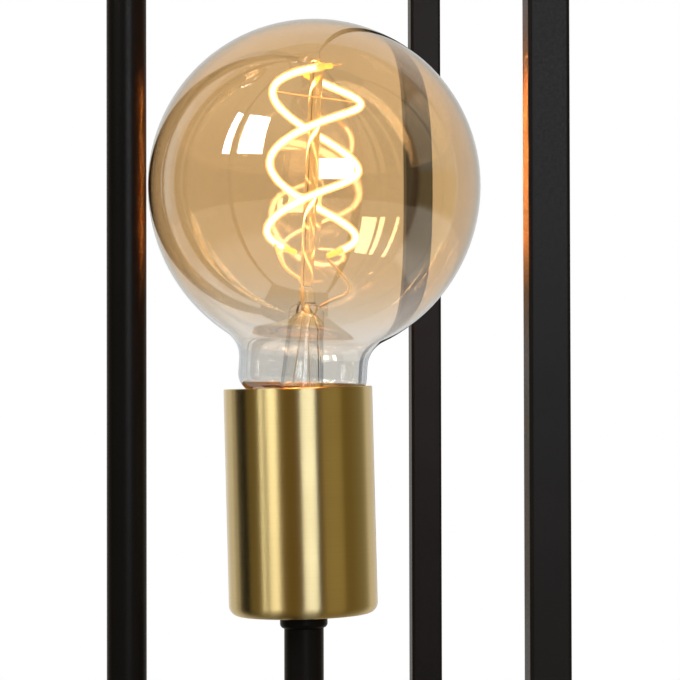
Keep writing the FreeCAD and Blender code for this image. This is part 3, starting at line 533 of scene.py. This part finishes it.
def strand_point(strand, angle):
    """A point on a strand's middle line, in the lamp's frame and millimetres."""
    stations = strand["stations"]
    rates = slopes(stations)
    n = max(i for i in range(len(stations) - 1) if i == 0 or stations[i][0] <= angle)
    (from_angle, low), (to_angle, high) = stations[n], stations[n + 1]
    span = to_angle - from_angle
    t = (angle - from_angle) / span
    z = ((2 * t ** 3 - 3 * t ** 2 + 1) * low + (t ** 3 - 2 * t ** 2 + t) * span * rates[n]
         + (3 * t ** 2 - 2 * t ** 3) * high + (t ** 3 - t ** 2) * span * rates[n + 1])
    a = math.radians(strand["start"] - angle)
    return COIL @ Vector((COIL_R * math.cos(a), COIL_R * math.sin(a), z))


def strand_line(strand, first, last, step=3.0):
    count = max(2, round((last - first) / step))
    return [strand_point(strand, first + (last - first) * n / count) for n in range(count + 1)]


def smoothed(corners, times=3):
    """A soft bend at each corner of a line, its ends kept."""
    line = [Vector(corner) for corner in corners]
    for _ in range(times):
        cut = [line[0]]
        for before, after in zip(line, line[1:]):
            cut += [before.lerp(after, 0.25), before.lerp(after, 0.75)]
        line = cut + [line[-1]]
    return line


def tube(line, radius, place_in, sides=14, round_ends=True):
    """Vertices and faces of a round tube along a line in millimetres, closed at both ends."""
    widths = radius if isinstance(radius, list) else [radius] * len(line)
    if round_ends:
        out = (line[0] - line[1]).normalized(), (line[-1] - line[-2]).normalized()
        angles = [math.radians(a) for a in (25, 50, 72, 88)]
        head = [(line[0] + out[0] * widths[0] * math.sin(a), widths[0] * math.cos(a))
                for a in angles]
        tail = [(line[-1] + out[1] * widths[-1] * math.sin(a), widths[-1] * math.cos(a))
                for a in angles]
        line = [p for p, _ in head[::-1]] + line + [p for p, _ in tail]
        widths = [w for _, w in head[::-1]] + widths + [w for _, w in tail]
    points, faces = [], []
    side = None
    for n, (at, width) in enumerate(zip(line, widths)):
        ahead = (line[min(n + 1, len(line) - 1)] - line[max(n - 1, 0)]).normalized()
        if side is None:
            side = ahead.orthogonal()
        side = (side - ahead * side.dot(ahead)).normalized()
        other = ahead.cross(side)
        for k in range(sides):
            a = 2 * math.pi * k / sides
            out_to = side * math.cos(a) + other * math.sin(a)
            points.append(place_in @ ((at + out_to * width) * MM))
    for n in range(len(line) - 1):
        for k in range(sides):
            m = (k + 1) % sides
            faces.append([n * sides + k, n * sides + m, (n + 1) * sides + m, (n + 1) * sides + k])
    faces.append(list(range(sides))[::-1])
    faces.append([(len(line) - 1) * sides + k for k in range(sides)])
    return points, faces


def joined(*meshes):
    points, faces = [], []
    for more, loops in meshes:
        faces += [[len(points) + v for v in loop] for loop in loops]
        points += more
    return points, faces


# Filament: where the chips begin and end, in degrees round each strand, and the radius of the
# chips, of the layers round them and of the strand's ends
CHIPS = ((1.0, 509.0), (1.0, 504.0))
CORE_R, COATING_R, SLEEVE_R, TIP_R = 0.60, 0.90, 1.3, 0.8
# How many degrees the layers reach past the chips, and a strand's ends reach over them
COATING_PAST, SLEEVE_PAST, TIP_OVER = 4.0, 7.0, 3.0
FINE_STEP = 2.0
# A layer thins out over so many points at each end, to this part of its radius
FADED_POINTS, FADED_TO = 5, 0.15


def faded(line, radius):
    """A line with its radius rounded off towards both ends."""
    last = len(line) - 1
    near = [min(1.0, min(n, last - n) / FADED_POINTS) for n in range(len(line))]
    rounded = [math.sqrt(1 - (1 - at) ** 2) for at in near]
    return line, [radius * (FADED_TO + (1 - FADED_TO) * at) for at in rounded]


def layer(strand, chips, past, radius, local):
    """A layer of the coating over a strand's chips."""
    line = strand_line(strand, chips[0] - past, chips[1] + past, FINE_STEP)
    return tube(*faded(line, radius), local, 20, False)


def filament_pieces(number, stem):
    body, local = f"bulb_{number}", filament_frame(stem)
    cores, coats, sleeves, tips = [], [], [], []
    for strand, chips in zip(STRANDS, CHIPS):
        lit, unlit = chips
        first, last = strand["stations"][0][0], strand["stations"][-1][0]
        cores.append(tube(strand_line(strand, lit, unlit), CORE_R, local, 16))
        coats.append(layer(strand, chips, COATING_PAST, COATING_R, local))
        sleeves.append(layer(strand, chips, SLEEVE_PAST, SLEEVE_R, local))
        for ends in ((first, lit + TIP_OVER), (unlit - TIP_OVER, last)):
            tips.append(tube(strand_line(strand, *ends, FINE_STEP), TIP_R, local, 16))
    core = new_piece(f"lit_core_{number}", *joined(*cores), body, "filament", LIT)
    coat = new_piece(f"coating_{number}", *joined(*coats), body, "filament", COATING)
    tip = new_piece(f"strand_ends_{number}", *joined(*tips), body, "filament", ENDS)
    wires = new_piece(f"lead_wires_{number}", *joined(*lead_wires(local)), body, "nickel",
                      lead_wire(stem))
    sleeve = new_piece(f"sleeve_{number}", *joined(*sleeves), body, "filament", SLEEVE)
    for piece in (core, coat, sleeve, tip, wires):
        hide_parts(f"bulb_{number}_filament")


def lead_wires(local):
    """The two leads up from the flare, the anchor at the rod's top and the tie below it."""
    first, second = STRANDS
    a = math.radians(first["start"] - CRIMP_AT)
    crimp = COIL @ Vector((COIL_R * math.cos(a), COIL_R * math.sin(a), CRIMP_Z))
    end = strand_point(second, second["stations"][-1][0])
    top_a, top_b = (strand_point(s, s["stations"][0][0]) for s in STRANDS)
    tie_a, tie_b = strand_point(first, 90.0), strand_point(second, 90.0)
    lead_a = smoothed([(-2.7, 0.6, LEAD_FOOT), (-1.0, 0, -38.5), (-1.0, 0, -27.4),
                       (-6.3, 3.4, -24.6), (-8.8, 6.4, -20.0), crimp])
    lead_b = smoothed([(2.3, -0.5, LEAD_FOOT), (0.4, 0, -37.5), (4.4, -0.4, -33.4),
                       (13.2, -3.2, -29.3), (7.2, -8.6, -23.4), (4.0, -10.6, -21.2), end])
    anchor = smoothed([top_a, COIL @ Vector((7.0, -11.0, 34.2)), COIL @ Vector((3.0, -3.0, 34.4)),
                       COIL @ Vector((-3.2, 3.0, 34.4)), COIL @ Vector((-6.6, 11.0, 34.3)), top_b])
    tie = smoothed([tie_a, COIL @ Vector((-6.0, -0.4, 25.9)), COIL @ Vector((6.0, 0.3, 25.2)), tie_b])
    widths = [[INNER_LEAD_R if at.z < SHOULDER else LEAD_R for at in lead]
              for lead in (lead_a, lead_b)]
    return [tube(lead_a, widths[0], local, 10), tube(lead_b, widths[1], local, 10),
            tube(anchor, TIE_R, local, 8), tube(tie, TIE_R, local, 8)]


# Dressing the nodes

def dress(node, finish):
    ob = frame["nodes"][node]
    ob.data.materials.clear()
    ob.data.materials.append(finish)


BLACK = powder_coat("powder_coat", (0.0046, 0.0039, 0.0036), (0.0070, 0.0058, 0.0050),
                    gloss=0.092, rough=0.36)
# The same black paint on the stems and collars, with a darker colour for painted shade and a slightly
# different gloss
TUBE_BLACK_SHADED = powder_coat("tube_coat_shaded", (0.0030, 0.0025, 0.0023), (0.0042, 0.0036, 0.0033),
                         gloss=0.10, rough=0.34)
LIT = lit_core()
COATING = coating("coating", (1.0, 0.90, 0.62), (1.0, 0.98, 0.72), strength=1.15, alpha=0.32)
SLEEVE = coating("sleeve", (1.0, 0.76, 0.44), (1.0, 0.84, 0.54), strength=1.6, alpha=0.15)
ENDS = coating("strand_ends", (1.0, 0.58, 0.11), (1.0, 0.66, 0.16), strength=1.5, alpha=1.0)
BRASS_PARTS = plain_metal("brass_parts", (0.72, 0.54, 0.24), (0.82, 0.64, 0.32),
                          rough=0.28, grain=700, bump=0.000005)
ZINC = plain_metal("zinc_steel", (0.50, 0.51, 0.53), (0.62, 0.63, 0.65),
                   rough=0.34, grain=900, bump=0.000005)
NICKEL = plain_metal("nickel", (0.62, 0.61, 0.58), (0.74, 0.73, 0.70),
                     rough=0.22, grain=600, bump=0.000003)
IRON = plain_metal("cast_iron", (0.09, 0.09, 0.09), (0.15, 0.15, 0.145),
                   rough=0.62, grain=350, bump=0.00012)
RUBBER = moulded("rubber", (0.022, 0.022, 0.022), (0.032, 0.032, 0.031),
                 rough=0.72, grain=1200, bump=0.00003)
BLACK_PLASTIC = moulded("black_plastic", (0.024, 0.024, 0.024), (0.034, 0.034, 0.034),
                        rough=0.46, grain=1600, bump=0.00002)
GREY_PLASTIC = moulded("grey_plastic", (0.58, 0.58, 0.56), (0.66, 0.66, 0.64),
                       rough=0.5, grain=1500, bump=0.00001)
SHEATH = moulded("wire_sheath", (0.04, 0.04, 0.04), (0.06, 0.06, 0.06),
                 rough=0.44, grain=900, bump=0.00001)
PORCELAIN = moulded("porcelain", (0.78, 0.77, 0.74), (0.84, 0.83, 0.80),
                    rough=0.2, grain=500, bump=0.00001, coat=0.6)
INSULATOR = moulded("insulator", (0.03, 0.03, 0.03), (0.05, 0.05, 0.05),
                    rough=0.24, grain=800, bump=0.00001, coat=0.3)

# By the names of the part's material slots
FINISHES = {
    "black_coat": BLACK, "brass_parts": BRASS_PARTS, "cast_iron": IRON, "rubber": RUBBER,
    "zinc_steel": ZINC, "black_plastic": BLACK_PLASTIC, "grey_plastic": GREY_PLASTIC,
    "wire_sheath": SHEATH, "porcelain": PORCELAIN, "nickel": NICKEL, "insulator": INSULATOR,
}

for part in frame["record"]["subparts"]:
    if part["material_slot"] in FINISHES:
        dress(part["node"], FINISHES[part["material_slot"]])

dress("collars", TUBE_BLACK_SHADED)
for number, stem in enumerate(STEMS, 1):
    body = f"bulb_{number}"
    dress(f"stem_{number}", TUBE_BLACK_SHADED)
    dress(f"cup_{number}", satin_brass(stem))
    shell = revolved(globe_outline(), lamp_frame(stem))
    glass = new_piece(f"glass_{number}", *shell, body, "amber_glass", amber_glass(stem))
    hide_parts(f"bulb_{number}_globe")
    stalk = revolved(mount_outline(), filament_frame(stem), 64, rod_sideways)
    mount = new_piece(f"glass_mount_{number}", *stalk, body, "clear_glass", clear_glass(stem))
    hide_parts(f"bulb_{number}_mount")
    filament_pieces(number, stem)


# Floor, light and camera

FLOOR_R, FLOOR_SEGMENTS = 2.4, 96
FLOOR_DARK, FLOOR_PALE = (0.86, 0.86, 0.86), (0.9, 0.9, 0.9)
FLOOR_FADE = (0.5, 1.9)             # metres from the middle, where the floor turns plain white


def floor():
    made, tree, out = new_material("floor")
    surface = add(tree, "BsdfDiffuse")
    speckle = noise(tree, place(tree), 40, 3)
    link(tree, mixed(tree, speckle, FLOOR_DARK, FLOOR_PALE), surface.inputs["Color"])
    white = add(tree, "Emission")
    distance = add(tree, "VectorMath", operation="LENGTH")
    link(tree, place(tree), distance.inputs[0])
    far = spread(tree, distance.outputs["Value"], 0.0, 1.0, *FLOOR_FADE, smooth=True)
    link(tree, blended(tree, far, surface.outputs[0], white.outputs[0]), out.inputs["Surface"])
    angles = [2 * math.pi * n / FLOOR_SEGMENTS for n in range(FLOOR_SEGMENTS)]
    rim = [(FLOOR_R * math.cos(a), FLOOR_R * math.sin(a), 0) for a in angles]
    mesh = bpy.data.meshes.new("floor")
    mesh.from_pydata(rim, [], [list(range(FLOOR_SEGMENTS))])
    mesh.materials.append(made)
    ob = bpy.data.objects.new("floor", mesh)
    ob.visible_glossy = False
    bpy.context.scene.collection.objects.link(ob)


# The room in mirrors, from the front (0), warm and dim, to straight behind the object (1), pale
ROOM = (
    (0.0, (0.130, 0.080, 0.019)), (0.25, (0.15, 0.097, 0.026)), (0.46, (0.16, 0.113, 0.040)),
    (0.70, (0.22, 0.18, 0.10)), (0.735, (0.30, 0.255, 0.17)), (0.785, (0.60, 0.535, 0.45)),
    (0.94, (0.63, 0.58, 0.54)), (0.975, (0.80, 0.77, 0.74)),
)
# As sharp mirrors, such as the glass, show it
ROOM_IN_GLASS = (
    (0.0, (0.105, 0.080, 0.045)), (0.25, (0.13, 0.10, 0.06)), (0.46, (0.15, 0.12, 0.08)),
    (0.664, (0.21, 0.19, 0.16)), (0.676, (0.40, 0.42, 0.46)), (0.80, (0.50, 0.53, 0.58)),
    (0.94, (0.58, 0.61, 0.64)), (0.975, (0.70, 0.72, 0.74)),
)
# The soft light that the room sheds on dull surfaces
AROUND = (0.80, 0.80, 0.80)

# Upright rectangles in the room, each by its azimuth to the right of the front, and its half
# width, low and high edge a metre away. Paler patches, with their light, for all mirrors:
PALE = ((50.0, 0.30, -0.9, 0.9, (0.17, 0.145, 0.08)),)
# for the glass alone:
PALE_IN_GLASS = (
    (-125.0, 0.07, -0.10, 0.62, (0.09, 0.19, 0.22)),
    (92.0, 0.36, 0.14, 0.9, (0.32, 0.34, 0.31)), (92.0, 0.36, -0.2, 0.14, (0.26, 0.22, 0.10)),
    (92.0, 0.36, -0.9, -0.2, (0.75, 0.72, 0.60)),
)
# and windows to the left and in front, for the glass alone
WINDOWS = (
    (-50.0, 0.160, 0.311, 0.885), (-67.9, 0.070, 0.300, 0.870), (11.0, 0.2125, 0.014, 0.249),
)
WINDOW_LIGHT = (19.0, 20.0, 21.5)
PATCH_SOFT, WINDOW_SOFT = 0.05, 0.007

# The pale floor and ceiling in the glass, and the heights of direction where they set in
FLOOR_LIGHT, FLOOR_FROM = (0.55, 0.55, 0.54), (-0.62, -0.42)
CEILING_LIGHT, CEILING_FROM = (0.30, 0.24, 0.16), (0.30, 0.80)


def product(tree, *factors):
    result = factors[0]
    for factor in factors[1:]:
        result = maths(tree, "MULTIPLY", result, factor)
    return result


def between(tree, value, low, high, soft):
    return product(tree, spread(tree, value, 0, 1, low - soft, low + soft, smooth=True),
                   spread(tree, value, 1, 0, high - soft, high + soft, smooth=True))


def window(tree, direction, soft, azimuth, half, low, high):
    """Where a direction meets an upright rectangle."""
    a = math.radians(azimuth)
    parts = []
    for axis in ((math.sin(a), -math.cos(a), 0), (math.cos(a), math.sin(a), 0), (0, 0, 1)):
        node = add(tree, "VectorMath", operation="DOT_PRODUCT")
        link(tree, direction, node.inputs[0])
        node.inputs[1].default_value = axis
        parts.append(node.outputs["Value"])
    ahead, *rest = parts
    across, up = (maths(tree, "DIVIDE", part, ahead) for part in rest)
    return product(tree, maths(tree, "GREATER_THAN", ahead, 0.1),
                   between(tree, across, -half, half, soft), between(tree, up, low, high, soft))


def lit_by(tree, light, mask, ground):
    """A colour added to another by a mask."""
    scaled = add(tree, "VectorMath", operation="SCALE")
    scaled.inputs[0].default_value = light
    link(tree, mask, scaled.inputs["Scale"])
    total = add(tree, "VectorMath", operation="ADD")
    link(tree, ground, total.inputs[0])
    link(tree, scaled.outputs[0], total.inputs[1])
    return total.outputs[0]


def room_colour(tree, ahead, stops):
    ramp = add(tree, "ValToRGB")
    for at, _ in stops[2:]:
        ramp.color_ramp.elements.new(at)
    for stop, (at, colour) in zip(ramp.color_ramp.elements, stops):
        stop.position = at
        stop.color = (*colour, 1)
    link(tree, ahead, ramp.inputs[0])
    return ramp.outputs["Color"]


def studio():
    """White for the camera. For mirrors a dim room in front of the object, a pale one behind."""
    world = bpy.data.worlds.new("studio")
    bpy.context.scene.world = world
    world.use_nodes = True
    tree = world.node_tree
    tree.nodes.clear()
    out = tree.nodes.new("ShaderNodeOutputWorld")
    direction = add(tree, "TexCoord").outputs["Generated"]
    split = add(tree, "SeparateXYZ")
    link(tree, direction, split.inputs[0])
    back, up = split.outputs["Y"], split.outputs["Z"]
    ahead = spread(tree, back, 0.0, 1.0, -1.0, 1.0)
    path = add(tree, "LightPath").outputs
    mirrored = maths(tree, "GREATER_THAN", path["Glossy Depth"], 0.5)
    sharp = product(tree, mirrored, path["Is Singular Ray"])
    room = mixed(tree, sharp, *(room_colour(tree, ahead, stops) for stops in (ROOM, ROOM_IN_GLASS)))
    for patches, seen_by in ((PALE, mirrored), (PALE_IN_GLASS, sharp)):
        for *shape, light in patches:
            patch = window(tree, direction, PATCH_SOFT, *shape)
            room = lit_by(tree, light, product(tree, seen_by, patch), room)
    for shape in WINDOWS:
        pane = window(tree, direction, WINDOW_SOFT, *shape)
        room = lit_by(tree, WINDOW_LIGHT, product(tree, sharp, pane), room)
    low = spread(tree, up, 1, 0, *FLOOR_FROM, smooth=True)
    room = lit_by(tree, FLOOR_LIGHT, product(tree, sharp, low), room)
    high = spread(tree, up, 0, 1, *CEILING_FROM, smooth=True)
    room = lit_by(tree, CEILING_LIGHT, product(tree, sharp, high), room)
    straight = product(tree, maths(tree, "SUBTRACT", 1.0, mirrored), path["Is Transmission Ray"])
    seen = maths(tree, "MAXIMUM", path["Is Camera Ray"], straight)
    room = mixed(tree, path["Is Diffuse Ray"], room, AROUND)
    sky = add(tree, "Background")
    link(tree, mixed(tree, seen, room, (1.0, 1.0, 1.0)), sky.inputs["Color"])
    link(tree, sky.outputs[0], out.inputs["Surface"])


# Lamps, set out round the photographed globe's middle
AIM = Vector((78.7, 0, 487.5)) * MM
DAYLIGHT, WARM_DAYLIGHT = (0.95, 1.0, 1.1), (1.0, 0.97, 0.88)


def panel(name, azimuth, distance, width, low, high, strength, colour=(1, 1, 1), mirrored=True):
    """An upright lamp panel at this azimuth, to the right of the front. Its low and high edges
    are above the photographed globe's middle."""
    a = math.radians(azimuth)
    away = Vector((math.sin(a), -math.cos(a), 0))
    data = bpy.data.lights.new(name, "AREA")
    data.shape, data.size, data.size_y = "RECTANGLE", width, high - low
    data.energy = strength * math.pi * width * (high - low)
    data.color = colour
    ob = bpy.data.objects.new(name, data)
    ob.location = AIM + away * distance + Vector((0, 0, (low + high) / 2))
    ob.rotation_euler = (-away).to_track_quat("-Z", "Y").to_euler()
    ob.visible_camera = False
    ob.visible_transmission = False
    ob.visible_glossy = mirrored
    bpy.context.scene.collection.objects.link(ob)


def camera():
    """The camera, to the right of straight ahead by its yaw and up by its pitch."""
    yaw, pitch, roll = (math.radians(v) for v in (CAMERA_YAW, CAMERA_PITCH, CAMERA_ROLL))
    ahead = Vector((math.sin(yaw) * math.cos(pitch), math.cos(yaw) * math.cos(pitch),
                    math.sin(pitch)))
    right = Vector((math.cos(yaw), -math.sin(yaw), 0))
    up = right.cross(ahead)
    right, up = (right * math.cos(roll) + up * math.sin(roll),
                 up * math.cos(roll) - right * math.sin(roll))
    data = bpy.data.cameras.new("camera")
    data.lens, data.sensor_width = CAMERA_LENS, SENSOR
    ob = bpy.data.objects.new("camera", data)
    turn = Matrix((right, up, -ahead)).transposed().to_4x4()
    ob.matrix_world = Matrix.Translation(CAMERA_PLACE) @ turn
    bpy.context.scene.collection.objects.link(ob)
    bpy.context.scene.camera = ob


floor()
studio()
panel("window_wide", azimuth=-50.0, distance=2.0, width=0.67, low=0.62, high=1.77,
      strength=8.0, colour=WARM_DAYLIGHT)
panel("window_narrow", azimuth=-68.4, distance=2.0, width=0.14, low=0.60, high=1.74,
      strength=13.5, colour=WARM_DAYLIGHT)
panel("front_panel", azimuth=11.0, distance=2.2, width=0.94, low=0.03, high=0.55,
      strength=7.9, colour=DAYLIGHT)
panel("fill", azimuth=8.0, distance=3.4, width=3.0, low=-0.4, high=2.4,
      strength=1.3, mirrored=False)
camera()

view = bpy.context.scene.view_settings
view.view_transform = "Standard"
